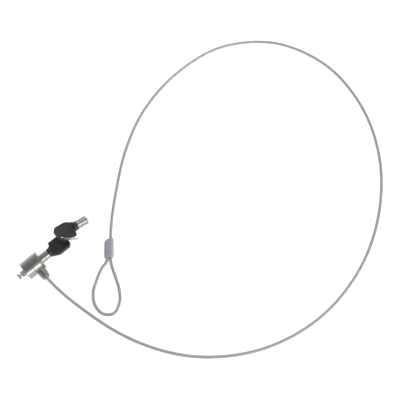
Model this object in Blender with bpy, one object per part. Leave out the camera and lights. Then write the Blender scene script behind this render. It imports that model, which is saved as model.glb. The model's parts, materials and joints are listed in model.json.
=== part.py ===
"""Keyed security cable: a T-bar lock head, two tubular keys on a wire ring and a coated steel cable.

The lock head lies on the ground with its axis along X: the T-bar points to -X, the key to +X and the
cable's gland to -Y. The origin is under the middle of the head, keys and ring. Metres, +Z up.
Run it with: blender --background --python part.py
"""
import math

import bmesh
import bpy
from mathutils import Matrix, Vector

MM = 0.001
GAP = 0.3 * MM
PHASE = 0.31  # turned pieces start a part of a step round, so no edge meets a cutter's edge

# Lock head: places along its axis are measured from the front face.
HEAD_X = -44.0 * MM
HEAD_Y = 2.5 * MM
FLANGE_R = 11.9 * MM
AXIS_Z = FLANGE_R
HOUSING_R = 11.4 * MM
SPIGOT_R = 10.0 * MM
BORE_R = 8.8 * MM
FRONT_WALL = 3.4 * MM
SHOULDER = 10.0 * MM
SPIGOT_END = 21.0 * MM
CAP_FACE = 21.3 * MM
HEAD_LENGTH = 23.3 * MM
PIN_ROLL = math.radians(33)

# Swivel collar and the cable's gland, at right angles to the head.
COLLAR_R = 11.7 * MM
COLLAR_BORE = 10.3 * MM
COLLAR_END = 20.2 * MM
GLAND_X = 15.3 * MM
GLAND_TIP = 22.6 * MM

# T-bar and the guard pins beside its neck, which fit a 7 x 3 mm slot.
TBAR_REACH = 9.9 * MM
TBAR_LENGTH = 6.8 * MM
TBAR_WIDTH = 2.9 * MM
TBAR_THICK = 2.6 * MM
NECK_R = 1.1 * MM
GUARD_R = 1.0 * MM
GUARD_SPREAD = 2.45 * MM
GUARD_REACH = 5.6 * MM

# Seven-pin tubular mechanism.
PIN_COUNT = 7
PIN_CIRCLE = 5.65 * MM
PIN_R = 0.7 * MM
PIN_HOLE_R = 1.0 * MM
SHEAR_LINE = 12.0 * MM
PLUG_END = 18.5 * MM
SPRING_TURNS = 3
SPRING_SIDES = 8
BITTING = [1.6 * MM, 0.8 * MM, 2.0 * MM, 1.2 * MM, 2.2 * MM, 0.9 * MM, 1.5 * MM]

# Tubular keys: places along a key are measured from the barrel's tip.
KEY_SEAT = 18.8 * MM
BARREL_R = 5.5 * MM
BARREL_BORE = 4.2 * MM
POST_R = 3.8 * MM
BARREL_LENGTH = 15.5 * MM
BOW_LENGTH = 28.3 * MM
BOW_HALF = 11.3 * MM
BOW_THICK = 4.2 * MM
RING_HOLE = Vector((23.8, 5.7)) * MM
RING_HOLE_LONG = 3.25 * MM
RING_HOLE_WIDE = 2.3 * MM
KEY_1_ROLL = math.radians(-12)
KEY_2_TIP = Vector((51.9, 9.2)) * MM
KEY_2_PITCH = math.radians(20.5)
KEY_2_YAW = math.radians(0.2)

# Wire ring, which leans a little from upright and passes through both bows.
RING_R = 10.2 * MM
RING_WIRE_R = 0.7 * MM
RING_CENTRE = Vector((20.9, 0.0, 12.6)) * MM
RING_HEADING = math.radians(-42.5)
RING_LEAN = math.radians(16)
RING_GRIP = math.radians(188.5)

# Cable, its crimped eye and the boot over the crimp.
CABLE_R = 2.0 * MM
CABLE_Z = 2.2 * MM
CABLE_STEP = 24.0 * MM
CABLE_TURN = math.radians(14)
LEG_SPREAD = 2.15 * MM
BOOT_FOOT = Vector((42.4, -48.4)) * MM
BOOT_HEADING = math.radians(51.3)
BOOT_Z = 4.0 * MM
BOOT_LENGTH = 25.0 * MM
BOOT_HALF = 6.0 * MM
BOOT_HIGH = 3.9 * MM

# The cable's route in millimetres: down from the gland, round the ground, up to the crimp, and the eye.
DESCENT = [(-28.4, -28, 11.7), (-27.0, -42, 9.8), (-24.0, -60, 5.8), (-20.2, -77, 3.2)]
GROUND_RING = [(-11, -112), (2, -146), (40, -204), (105, -252), (180, -272), (260, -264), (333, -231),
               (393, -179), (433, -112), (446, -31), (419, 43), (357, 89), (278, 98), (200, 80),
               (150, 52), (101, 12)]
APPROACH = [(77, -10.6, 2.7)]
EYE = [(38, -60, 3.0), (33.2, -72.5, 2.4), (27, -87, 2.2), (17, -100, 2.2), (4, -105.3, 2.2),
       (-5.5, -97.5, 2.2), (-6.7, -84, 2.2), (1, -69.5, 2.2), (14, -60, 2.4), (27, -53, 3.0)]


def clear_scene():
    for obj in list(bpy.data.objects):
        bpy.data.objects.remove(obj, do_unlink=True)
    for mesh in list(bpy.data.meshes):
        bpy.data.meshes.remove(mesh)


def material(name, colour, roughness, metallic):
    """A plain Principled material with the piece's own colour."""
    mat = bpy.data.materials.new(name)
    mat.use_nodes = True
    shader = mat.node_tree.nodes["Principled BSDF"]
    shader.inputs["Base Color"].default_value = (*colour, 1.0)
    shader.inputs["Roughness"].default_value = roughness
    shader.inputs["Metallic"].default_value = metallic
    mat.diffuse_color = (*colour, 1.0)
    return mat


def finish(name, bm, matrix, parent, look):
    """Turn a bmesh into a named object with its own material, placed by a world matrix."""
    bmesh.ops.recalc_face_normals(bm, faces=bm.faces[:])
    mesh = bpy.data.meshes.new(name)
    bm.to_mesh(mesh)
    bm.free()
    mesh.shade_smooth()
    mesh.set_sharp_from_angle(angle=math.radians(35))
    obj = bpy.data.objects.new(name, mesh)
    bpy.context.scene.collection.objects.link(obj)
    place(obj, matrix, parent)
    if look:
        mesh.materials.append(material(name, *look))
    return obj


def place(obj, matrix, parent):
    if parent:
        obj.parent = parent
        obj.matrix_parent_inverse = parent.matrix_world.inverted()
    obj.matrix_world = matrix


def pivot(name, matrix, parent=None):
    """An empty on a joint's axis that carries the pieces of one moving body."""
    empty = bpy.data.objects.new(name, None)
    bpy.context.scene.collection.objects.link(empty)
    place(empty, matrix, parent)
    bpy.context.view_layer.update()
    return empty


def cutter(name, bm, matrix):
    """A hidden solid that a Boolean takes away or adds."""
    obj = finish(name, bm, matrix, None, None)
    obj.hide_render = True
    obj.display_type = "WIRE"
    return obj


def boolean(obj, other, operation="DIFFERENCE"):
    mod = obj.modifiers.new(other.name, "BOOLEAN")
    mod.operation = operation
    mod.solver = "EXACT"
    mod.object = other


def bevel(obj, width, segments=1, angle=40):
    mod = obj.modifiers.new("edge_round", "BEVEL")
    mod.width = width
    mod.segments = segments
    mod.limit_method = "ANGLE"
    mod.angle_limit = math.radians(angle)


def turned(profile, segments=32):
    """Solid made by turning (along, radius) points about local X; a closed profile makes a ring."""
    bm = bmesh.new()
    rings = [circle(bm, along, radius, segments, PHASE) for along, radius in profile]
    on_axis = len(rings[0]) == 1
    last = len(rings) - 1 if on_axis else len(rings)
    for i in range(last):
        join_rings(bm, rings[i], rings[(i + 1) % len(rings)])
    return bm


def circle(bm, along, radius, segments, phase=0.0, y=0.0, z=0.0):
    """Ring of points round local X, or one point where the radius is nothing."""
    if radius == 0:
        return [bm.verts.new((along, y, z))]
    angles = [2 * math.pi * (k + phase) / segments for k in range(segments)]
    return [bm.verts.new((along, y + radius * math.cos(a), z + radius * math.sin(a))) for a in angles]


def join_rings(bm, first, second):
    count = max(len(first), len(second))
    for k in range(count):
        n = (k + 1) % count
        if len(first) == 1:
            bm.faces.new((first[0], second[k], second[n]))
        elif len(second) == 1:
            bm.faces.new((first[k], first[n], second[0]))
        else:
            bm.faces.new((first[k], second[k], second[n], first[n]))


def cylinder(bm, start, end, radius, y=0.0, z=0.0, segments=16):
    """Add a closed cylinder along local X to a bmesh."""
    rings = [circle(bm, along, radius, segments, 0.0, y, z) for along in (start, end)]
    join_rings(bm, rings[0], rings[1])
    bm.faces.new(rings[0])
    bm.faces.new(rings[1])


def box(bm, low, high):
    """Add a closed box between two corners to a bmesh."""
    size = Vector(high) - Vector(low)
    middle = (Vector(high) + Vector(low)) / 2
    matrix = Matrix.Translation(middle) @ Matrix.Diagonal((*size, 1.0))
    bmesh.ops.create_cube(bm, size=1.0, matrix=matrix)


def prism(outline, low, high):
    """Solid between two heights over a plan outline."""
    bm = bmesh.new()
    bottom = [bm.verts.new((x, y, low)) for x, y in outline]
    top = [bm.verts.new((x, y, high)) for x, y in outline]
    join_rings(bm, bottom, top)
    bm.faces.new(bottom)
    bm.faces.new(top)
    return bm


def stadium(half_long, half_wide, segments=8):
    """Outline with two straight sides and round ends, longest along its first axis."""
    points = []
    for side in (1, -1):
        for k in range(segments + 1):
            turn = math.pi * k / segments - math.pi / 2
            x = side * (half_long - half_wide + half_wide * math.cos(turn))
            points.append((x, side * half_wide * math.sin(turn)))
    return points


def around(angle, radius):
    """Point (y, z) at an angle about the head's axis."""
    return radius * math.cos(angle), radius * math.sin(angle)


def pin_angles():
    """Angles of the pins in the key's frame; the eighth place is the key's nib."""
    return [2 * math.pi * (k + 1) / (PIN_COUNT + 1) for k in range(PIN_COUNT)]


# ---------------------------------------------------------------- lock body

def front_housing(frame, parent):
    chamfer = 0.5 * MM
    bore = NECK_R + GAP
    profile = [(0, bore), (0, HOUSING_R - chamfer), (chamfer, HOUSING_R),
               (SHOULDER - chamfer / 2, HOUSING_R), (SHOULDER, HOUSING_R - chamfer / 2), (SHOULDER, SPIGOT_R),
               (SPIGOT_END, SPIGOT_R), (SPIGOT_END, BORE_R), (FRONT_WALL, BORE_R), (FRONT_WALL, bore)]
    obj = finish("front_housing", turned(profile, 48), frame, parent, ((0.50, 0.49, 0.47), 0.34, 1.0))
    seat = bmesh.new()
    cylinder(seat, -1.0 * MM, 1.9 * MM, 4.6 * MM, segments=32)
    boolean(obj, cutter("guard_seat_cutter", seat, frame))
    hole = bmesh.new()
    cylinder(hole, 7.6 * MM, 11.0 * MM, 0.8 * MM, segments=12)
    boolean(obj, cutter("dowel_hole_cutter", hole, frame @ dowel_turn()))


def guard_pins(frame, parent):
    """Round plate let into the front face, with the two pins that fill the slot's ends."""
    plate = turned([(0, NECK_R + GAP), (0, 4.3 * MM), (1.6 * MM, 4.3 * MM), (1.6 * MM, NECK_R + GAP)], 32)
    obj = finish("guard_pins", plate, frame, parent, ((0.45, 0.44, 0.43), 0.38, 1.0))
    for side, name in ((1, "upper"), (-1, "lower")):
        pin = bmesh.new()
        cylinder(pin, -GUARD_REACH, 0.8 * MM, GUARD_R, y=side * GUARD_SPREAD, segments=16)
        shaft = cutter(f"guard_{name}_shape", pin, frame)
        bevel(shaft, 0.3 * MM)
        boolean(obj, shaft, "UNION")


def dowel_turn():
    """Frame whose X axis runs outward from the head's axis, midway between two pin holes."""
    angle = KEY_1_ROLL - PIN_ROLL + math.pi + math.radians(22.5)
    outward = Matrix.Rotation(math.pi / 2, 4, "Z")
    return Matrix.Translation((11.0 * MM, 0, 0)) @ Matrix.Rotation(angle, 4, "X") @ outward


def dowel(frame, parent):
    bm = bmesh.new()
    cylinder(bm, 7.2 * MM, 9.8 * MM, 0.5 * MM, segments=12)
    finish("chamber_dowel", bm, frame @ dowel_turn(), parent, ((0.42, 0.42, 0.42), 0.4, 1.0))


def rear_cap(frame, key_frame, parent):
    """Flanged ring pressed into the housing, with the key's mouth and the notch for its nib."""
    lip = BARREL_R + 0.35 * MM
    plug_r = BORE_R - GAP
    room = 7.0 * MM
    profile = [(KEY_SEAT, room), (KEY_SEAT, plug_r), (CAP_FACE, plug_r),
               (CAP_FACE, FLANGE_R - 0.4 * MM), (CAP_FACE + 0.4 * MM, FLANGE_R),
               (HEAD_LENGTH - 0.6 * MM, FLANGE_R), (HEAD_LENGTH, FLANGE_R - 0.6 * MM),
               (HEAD_LENGTH, lip + 0.4 * MM), (HEAD_LENGTH - 0.4 * MM, lip), (CAP_FACE, lip), (CAP_FACE, room)]
    obj = finish("rear_cap", turned(profile, 48), frame, parent, ((0.52, 0.51, 0.49), 0.32, 1.0))
    notch = bmesh.new()
    box(notch, (CAP_FACE - 0.2 * MM, 4.8 * MM, -1.0 * MM), (HEAD_LENGTH + MM, 6.8 * MM, 1.0 * MM))
    boolean(obj, cutter("nib_notch_cutter", notch, key_frame))


def pin_holes(name, start, end, key_frame):
    bm = bmesh.new()
    for angle in pin_angles():
        y, z = around(angle, PIN_CIRCLE)
        cylinder(bm, start, end, PIN_HOLE_R, y, z, 12)
    return cutter(name, bm, key_frame)


def pin_chamber(frame, key_frame, parent):
    """Fixed block behind the front wall, bored for the springs and driver pins."""
    bore = NECK_R + GAP
    radius = BORE_R - GAP
    start = FRONT_WALL + GAP
    profile = [(start, bore), (start, radius), (SHEAR_LINE, radius), (SHEAR_LINE, bore)]
    obj = finish("pin_chamber", turned(profile, 32), frame, parent, ((0.72, 0.56, 0.28), 0.4, 1.0))
    boolean(obj, pin_holes("chamber_bores_cutter", start + 0.6 * MM, SHEAR_LINE + MM, key_frame))
    hole = bmesh.new()
    cylinder(hole, 6.9 * MM, 9.8 * MM, 0.8 * MM, segments=12)
    boolean(obj, cutter("dowel_seat_cutter", hole, frame @ dowel_turn()))


def spring(name, start, end, y, z, matrix, parent):
    """Helical spring along local X, closed at both wire ends."""
    wire = 0.14 * MM
    coil = PIN_R - wire
    steps = SPRING_SIDES * SPRING_TURNS
    bm = bmesh.new()
    rings = []
    for i in range(steps + 1):
        turn = 2 * math.pi * i / SPRING_SIDES
        along = start + wire + (end - start - 2 * wire) * i / steps
        outward = Vector((0, math.cos(turn), math.sin(turn)))
        centre = Vector((along, y, z)) + outward * coil
        corners = [outward * wire, Vector((wire, 0, 0)), -outward * wire, Vector((-wire, 0, 0))]
        rings.append([bm.verts.new(centre + corner) for corner in corners])
    for i in range(steps):
        join_rings(bm, rings[i], rings[i + 1])
    bm.faces.new(rings[0])
    bm.faces.new(rings[-1])
    finish(name, bm, matrix, parent, ((0.6, 0.6, 0.62), 0.3, 1.0))


def pin(name, start, end, y, z, matrix, parent, colour):
    bm = bmesh.new()
    cylinder(bm, start, end, PIN_R, y, z, 10)
    obj = finish(name, bm, matrix, parent, (colour, 0.35, 1.0))
    bevel(obj, 0.12 * MM, angle=60)


def pin_stacks(key_frame, body, core):
    """Spring and driver pin in the chamber, key pin in the core, once for each place."""
    bottom = FRONT_WALL + GAP + 0.6 * MM
    for k, angle in enumerate(pin_angles()):
        y, z = around(angle, PIN_CIRCLE)
        number = k + 1
        driver_start = SHEAR_LINE - 3.4 * MM
        spring(f"pin_spring_{number}", bottom + GAP, driver_start - GAP, y, z, key_frame, body)
        pin(f"driver_pin_{number}", driver_start, SHEAR_LINE - GAP / 2, y, z, key_frame, body, (0.55, 0.55, 0.56))
        reach = KEY_SEAT + BITTING[k] - GAP
        pin(f"key_pin_{number}", SHEAR_LINE + 1.5 * GAP, reach, y, z, key_frame, core, (0.78, 0.62, 0.33))


# ---------------------------------------------------------------- turning core

def core_plug(frame, key_frame, parent):
    """Turning plug with its pin holes and the post that the key's barrel slides over."""
    start = SHEAR_LINE + GAP
    post_end = HEAD_LENGTH - 1.6 * MM
    profile = [(start, 0), (start, BORE_R - GAP), (PLUG_END, BORE_R - GAP), (PLUG_END, POST_R),
               (post_end - 0.5 * MM, POST_R), (post_end, POST_R - 0.5 * MM), (post_end, 0)]
    obj = finish("core_plug", turned(profile, 32), key_frame, parent, ((0.7, 0.55, 0.3), 0.38, 1.0))
    boolean(obj, pin_holes("core_bores_cutter", start - MM, PLUG_END + MM, key_frame))
    socket = bmesh.new()
    half = 0.9 * MM + GAP
    box(socket, (start - MM, -half, -half), (start + 3.8 * MM, half, half))
    boolean(obj, cutter("core_socket_cutter", socket, frame))


def t_bar(frame, parent):
    """T-shaped bar on a round neck, with a square tail that the core turns."""
    profile = [(-TBAR_REACH + 0.3 * MM, 0), (-TBAR_REACH + 0.3 * MM, NECK_R),
               (SHEAR_LINE, NECK_R), (SHEAR_LINE, 0)]
    obj = finish("t_bar", turned(profile, 20), frame, parent, ((0.44, 0.43, 0.42), 0.36, 1.0))
    head = bmesh.new()
    box(head, (-TBAR_REACH, -TBAR_LENGTH / 2, -TBAR_WIDTH / 2),
        (-TBAR_REACH + TBAR_THICK, TBAR_LENGTH / 2, TBAR_WIDTH / 2))
    head_shape = cutter("t_bar_head_shape", head, frame)
    bevel(head_shape, 0.35 * MM, segments=2)
    boolean(obj, head_shape, "UNION")
    tail = bmesh.new()
    half = 0.8 * MM
    box(tail, (SHEAR_LINE - MM, -half, -half), (SHEAR_LINE + 3.6 * MM, half, half))
    boolean(obj, cutter("t_bar_tail_shape", tail, frame), "UNION")


# ---------------------------------------------------------------- cable side

def swivel_collar(frame):
    chamfer = 0.35 * MM
    start = SHOULDER + GAP
    profile = [(start, 0), (start, COLLAR_R - chamfer), (start + chamfer, COLLAR_R),
               (COLLAR_END - chamfer, COLLAR_R), (COLLAR_END, COLLAR_R - chamfer), (COLLAR_END, 0)]
    obj = finish("swivel_collar", turned(profile, 48), frame, None, ((0.54, 0.53, 0.51), 0.3, 1.0))
    boss = bmesh.new()
    cylinder(boss, 9.0 * MM, 13.0 * MM, 5.1 * MM, segments=32)
    boss_shape = cutter("gland_boss_shape", boss, frame @ gland_turn())
    bevel(boss_shape, 0.3 * MM)
    boolean(obj, boss_shape, "UNION")
    bore = bmesh.new()
    cylinder(bore, start - MM, COLLAR_END + MM, COLLAR_BORE, segments=48)
    boolean(obj, cutter("collar_bore_cutter", bore, frame))
    hole = bmesh.new()
    cylinder(hole, 8.0 * MM, 14.0 * MM, 4.0 * MM, segments=24)
    boolean(obj, cutter("gland_hole_cutter", hole, frame @ gland_turn()))


def gland_turn():
    """Frame whose X axis runs outward along the gland, towards -Y."""
    return Matrix.Translation((GLAND_X, 0, 0)) @ Matrix.Rotation(-math.pi / 2, 4, "Z")


def swivel_washer(frame):
    inner = COLLAR_BORE
    outer = COLLAR_R - GAP
    profile = [(COLLAR_END + GAP, inner), (COLLAR_END + GAP, outer), (CAP_FACE - GAP, outer), (CAP_FACE - GAP, inner)]
    finish("swivel_washer", turned(profile, 40), frame, None, ((0.18, 0.175, 0.17), 0.5, 0.0))


def cable_gland(frame):
    """Tapered nose of the collar, hollow for the cable's stop and recessed round the cable."""
    bore = CABLE_R + GAP
    profile = [(11.2 * MM, 3.1 * MM), (11.2 * MM, 3.7 * MM), (13.3 * MM, 3.7 * MM),
               (13.3 * MM, 5.3 * MM), (13.7 * MM, 5.6 * MM), (14.9 * MM, 5.6 * MM),
               (21.3 * MM, 5.0 * MM), (22.1 * MM, 4.8 * MM), (GLAND_TIP, 4.4 * MM),
               (GLAND_TIP, 3.4 * MM), (GLAND_TIP - 1.1 * MM, 3.0 * MM), (GLAND_TIP - 1.1 * MM, bore),
               (17.6 * MM, bore), (17.6 * MM, 3.1 * MM)]
    finish("cable_gland", turned(profile, 28), frame @ gland_turn(), None, ((0.40, 0.39, 0.38), 0.36, 1.0))


def cable_stop(frame):
    bore = CABLE_R + GAP
    profile = [(12.0 * MM, bore), (12.0 * MM, 2.8 * MM), (17.3 * MM, 2.8 * MM), (17.3 * MM, bore)]
    finish("cable_stop", turned(profile, 24), frame @ gland_turn(), None, ((0.62, 0.62, 0.63), 0.4, 1.0))


# ---------------------------------------------------------------- keys and ring

def barrel(name, matrix, parent):
    """Tubular barrel with its cuts, the nib beside its tip and a flat tang inside the bow."""
    rim = 0.35 * MM
    depth = 11.5 * MM
    root = BARREL_LENGTH - GAP
    profile = [(depth, 0), (depth, BARREL_BORE), (rim, BARREL_BORE), (0, BARREL_BORE + rim),
               (0, BARREL_R - rim), (rim, BARREL_R), (root, BARREL_R), (root, 0)]
    obj = finish(name, turned(profile, 32), matrix, parent, ((0.48, 0.47, 0.46), 0.3, 1.0))
    cuts = bmesh.new()
    for depth_cut, angle in zip(BITTING, pin_angles()):
        y, z = around(angle, PIN_CIRCLE)
        cylinder(cuts, -MM, depth_cut, PIN_HOLE_R, y, z, 12)
    boolean(obj, cutter(f"{name}_cuts", cuts, matrix))
    nib = bmesh.new()
    box(nib, (0.6 * MM, 4.9 * MM, -0.65 * MM), (2.2 * MM, 6.4 * MM, 0.65 * MM))
    boolean(obj, cutter(f"{name}_nib", nib, matrix), "UNION")
    tang = bmesh.new()
    box(tang, (root - MM, -2.8 * MM, -0.8 * MM), (root + 8.6 * MM, 2.8 * MM, 0.8 * MM))
    boolean(obj, cutter(f"{name}_tang", tang, matrix), "UNION")


def bow_outline():
    """A hollowed and a sloping shoulder, straight sides and a chamfered end, measured from the neck."""
    hollow = [(0, 5.2 * MM), (3.0 * MM, 5.5 * MM), (5.6 * MM, 6.5 * MM), (6.7 * MM, 8.2 * MM), (7.3 * MM, BOW_HALF)]
    end = [(BOW_LENGTH - 4.0 * MM, BOW_HALF), (BOW_LENGTH, 7.5 * MM)]
    slope = [(10.4 * MM, -BOW_HALF), (7.2 * MM, -9.6 * MM), (3.6 * MM, -7.0 * MM), (0, -5.2 * MM)]
    return hollow + end + [(x, -y) for x, y in reversed(end)] + slope


def bow(name, matrix, parent):
    """Moulded bow: rimmed plate, round neck, hole for the ring and pocket for the tang."""
    frame = matrix @ Matrix.Translation((BARREL_LENGTH, 0, 0))
    half = BOW_THICK / 2
    obj = finish(name, prism(bow_outline(), -half, half), frame, parent, ((0.030, 0.030, 0.034), 0.45, 0.0))
    bevel(obj, 0.45 * MM, segments=2)
    neck = turned([(0, 0), (0, 5.3 * MM), (0.5 * MM, 5.6 * MM), (3.2 * MM, 5.6 * MM),
                   (5.2 * MM, 4.2 * MM), (5.2 * MM, 0)], 24)
    boolean(obj, cutter(f"{name}_neck", neck, frame), "UNION")
    floor = half - 0.55 * MM
    for side, tag in ((1, "top"), (-1, "under")):
        low, high = sorted((side * floor, side * (half + MM)))
        panel = prism(panel_outline(), low, high)
        boolean(obj, cutter(f"{name}_{tag}_panel", panel, frame))
        groove = bmesh.new()
        low, high = sorted((side * (floor - 0.35 * MM), side * (half + MM)))
        box(groove, (9.2 * MM, -4.4 * MM, low), (11.8 * MM, 4.4 * MM, high))
        boolean(obj, cutter(f"{name}_{tag}_groove", groove, frame))
    hole = prism(stadium(RING_HOLE_LONG, RING_HOLE_WIDE), -half - MM, half + MM)
    turn = Matrix.Translation((*RING_HOLE, 0)) @ Matrix.Rotation(math.pi / 2, 4, "Z")
    boolean(obj, cutter(f"{name}_ring_hole", hole, frame @ turn))
    pocket = bmesh.new()
    box(pocket, (-MM, -3.1 * MM, -1.1 * MM), (8.6 * MM, 3.1 * MM, 1.1 * MM))
    boolean(obj, cutter(f"{name}_pocket", pocket, frame))


def panel_outline():
    """Sunk panel between the neck's ridge and the thick end that holds the ring."""
    rim = 1.7 * MM
    half = BOW_HALF - rim
    end = BOW_LENGTH - 9.0 * MM
    return [(8.6 * MM, -half), (end, -half), (end, half), (8.6 * MM, half)]


def key_2_matrix():
    """Frame of the spare key: its tip on the ground, its bow resting on the first key's bow."""
    turn = Matrix.Rotation(math.pi + KEY_2_YAW, 4, "Z") @ Matrix.Rotation(-KEY_2_PITCH, 4, "Y")
    tip_z = BARREL_R * math.cos(KEY_2_PITCH) + 0.15 * MM
    return Matrix.Translation((*KEY_2_TIP, tip_z)) @ turn


def ring_matrix():
    """Frame at the ring's centre whose X axis is the ring's own axis."""
    turn = Matrix.Rotation(RING_HEADING - math.pi / 2, 4, "Z")
    return Matrix.Translation(RING_CENTRE) @ turn @ Matrix.Rotation(RING_LEAN, 4, "Y")


def ring_grip():
    """Point of the wire that stands in the first bow's hole, which the ring swings about."""
    return ring_matrix() @ Vector((0, RING_R * math.cos(RING_GRIP), RING_R * math.sin(RING_GRIP)))


def key_ring(parent):
    turns = [-2 * math.pi * k / 8 for k in range(8)]
    profile = [(RING_WIRE_R * math.cos(t), RING_R + RING_WIRE_R * math.sin(t)) for t in turns]
    finish("key_ring", turned(profile, 40), ring_matrix(), parent, ((0.66, 0.66, 0.67), 0.25, 1.0))


# ---------------------------------------------------------------- crimp and cable

def boot_frame():
    """Frame at the foot of the boot, with X towards its shoulder and the dead end on its +Y side."""
    return Matrix.Translation((*BOOT_FOOT, BOOT_Z)) @ Matrix.Rotation(BOOT_HEADING, 4, "Z")


def tube_outline(half_wide, half_high, segments=6):
    """Stations (y, half height) across an oval section, from one round side to the other."""
    flat = half_wide - half_high
    turns = [math.pi / 2 * k / segments for k in range(segments + 1)]
    rise = [(-flat - half_high * math.cos(t), half_high * math.sin(t)) for t in turns]
    return rise + [(-y, z) for y, z in reversed(rise)]


def oval_tube(half_wide, half_high, foot, head):
    """Solid oval tube; foot and head give its two ends along X at each station y."""
    bm = bmesh.new()
    ends = []
    stations = tube_outline(half_wide, half_high)
    for end in (foot, head):
        upper = [bm.verts.new((end(y), y, z)) for y, z in stations]
        lower = [bm.verts.new((end(y), y, -z)) for y, z in stations[1:-1]]
        ends.append(upper + lower[::-1])
        closed = [upper[0]] + lower + [upper[-1]]
        for a, b, c, d in zip(upper, upper[1:], closed[1:], closed):
            bm.faces.new([v for v in dict.fromkeys((a, b, c, d))])
    join_rings(bm, ends[0], ends[1])
    return bm


def boot_head(y):
    """The shoulder slopes down on the side of the cable's dead end."""
    return BOOT_LENGTH - max(0.0, y + 0.4 * MM) * 0.70


def ferrule_boot():
    obj = finish("ferrule_boot", oval_tube(BOOT_HALF, BOOT_HIGH, lambda y: 0.0, boot_head), boot_frame(), None,
                 ((0.40, 0.41, 0.46), 0.5, 0.0))
    bevel(obj, 0.9 * MM, segments=2, angle=50)
    hollow = oval_tube(LEG_SPREAD + CABLE_R + 4 * GAP, CABLE_R + 4 * GAP, lambda y: -MM, lambda y: 19.8 * MM)
    boolean(obj, cutter("boot_hollow_cutter", hollow, boot_frame()))
    bore = bmesh.new()
    cylinder(bore, 19.0 * MM, BOOT_LENGTH + MM, CABLE_R + GAP, y=-LEG_SPREAD, segments=16)
    boolean(obj, cutter("boot_bore_cutter", bore, boot_frame()))


def ferrule_sleeve():
    """Oval crimp sleeve inside the boot, round both legs of the eye."""
    foot = 1.2 * MM
    head = 19.4 * MM
    outer = oval_tube(LEG_SPREAD + CABLE_R + 3 * GAP, CABLE_R + 3 * GAP, lambda y: foot, lambda y: head)
    obj = finish("ferrule_sleeve", outer, boot_frame(), None, ((0.72, 0.72, 0.73), 0.35, 1.0))
    hollow = oval_tube(LEG_SPREAD + CABLE_R + GAP, CABLE_R + GAP, lambda y: foot - MM, lambda y: head + MM)
    boolean(obj, cutter("sleeve_hollow_cutter", hollow, boot_frame()))


def leg_point(along, side, rise=0.0):
    """Point of one leg of the eye, measured along the boot from its foot."""
    local = Vector((along * MM, side * LEG_SPREAD, rise * MM))
    return boot_frame() @ local


def cable_route():
    """The cable's own route: gland, ring on the ground, crimp, eye, and its dead end in the crimp."""
    gland = Vector((HEAD_X + GLAND_X, HEAD_Y, AXIS_Z))
    points = [gland + Vector((0, -12.5 * MM, 0)), gland + Vector((0, -GLAND_TIP, 0))]
    points += [Vector(p) * MM for p in DESCENT]
    points += [Vector((x * MM, y * MM, CABLE_Z)) for x, y in GROUND_RING]
    points += [Vector(p) * MM for p in APPROACH]
    points += [leg_point(along, -1) for along in (29.0, 23.0, 3.0, -3.0)]
    points += [Vector(p) * MM for p in EYE]
    points += [leg_point(along, 1) for along in (-3.0, 3.0, 17.0)]
    return points


def smooth(points, step, turn):
    """Points read from a smooth curve through the route, closer together where it bends more."""
    ends = [2 * points[0] - points[1]] + points + [2 * points[-1] - points[-2]]
    line = []
    for p0, p1, p2, p3 in zip(ends, ends[1:], ends[2:], ends[3:]):
        bend = (p2 - p0).angle(p3 - p1)
        pieces = max(1, round((p2 - p1).length / step), round(bend / turn))
        line += [spline_point(p0, p1, p2, p3, k / pieces) for k in range(pieces)]
    return line + [points[-1]]


def spline_point(p0, p1, p2, p3, part):
    """Catmull-Rom point between p1 and p2 whose knots follow the spacing of the points."""
    knots = [0.0]
    for a, b in ((p0, p1), (p1, p2), (p2, p3)):
        knots.append(knots[-1] + (b - a).length)
    t = knots[1] + (knots[2] - knots[1]) * part
    near = [blend(p0, p1, knots[0], knots[1], t), blend(p1, p2, knots[1], knots[2], t),
            blend(p2, p3, knots[2], knots[3], t)]
    wide = [blend(near[0], near[1], knots[0], knots[2], t), blend(near[1], near[2], knots[1], knots[3], t)]
    return blend(wide[0], wide[1], knots[1], knots[2], t)


def blend(a, b, start, end, t):
    return a + (b - a) * ((t - start) / (end - start))


def security_cable():
    curve = bpy.data.curves.new("security_cable", "CURVE")
    curve.dimensions = "3D"
    curve.bevel_depth = CABLE_R
    curve.bevel_resolution = 2
    curve.use_fill_caps = True
    line = smooth(cable_route(), CABLE_STEP, CABLE_TURN)
    spline = curve.splines.new("POLY")
    spline.points.add(len(line) - 1)
    for point, place_at in zip(spline.points, line):
        point.co = (*place_at, 1.0)
    curve.materials.append(material("security_cable", (0.50, 0.52, 0.53), 0.35, 0.0))
    obj = bpy.data.objects.new("security_cable", curve)
    bpy.context.scene.collection.objects.link(obj)


def build_lock(axis, rolled, keyed):
    """The head: what is fixed in it, what turns in it and the collar that turns round it."""
    body = pivot("lock_swivel", axis)
    core = pivot("core_turn", axis, body)
    front_housing(rolled, body)
    guard_pins(rolled, body)
    dowel(rolled, body)
    rear_cap(axis, keyed, body)
    pin_chamber(rolled, keyed, body)
    core_plug(rolled, keyed, core)
    t_bar(rolled, core)
    pin_stacks(keyed, body, core)
    swivel_collar(axis)
    swivel_washer(axis)
    cable_gland(axis)
    cable_stop(axis)
    return core


def build_keys(keyed, core):
    """The key in the lock, the ring that swings in its bow and the spare key on the ring."""
    seat = keyed @ Matrix.Translation((KEY_SEAT, 0, 0))
    first = pivot("key_1_slide", seat, core)
    barrel("key_1_barrel", seat, first)
    bow("key_1_bow", seat, first)
    swing = pivot("ring_swing", Matrix.Translation(ring_grip()), first)
    key_ring(swing)
    second = pivot("key_2_hang", ring_matrix(), swing)
    barrel("key_2_barrel", key_2_matrix(), second)
    bow("key_2_bow", key_2_matrix(), second)


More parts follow.
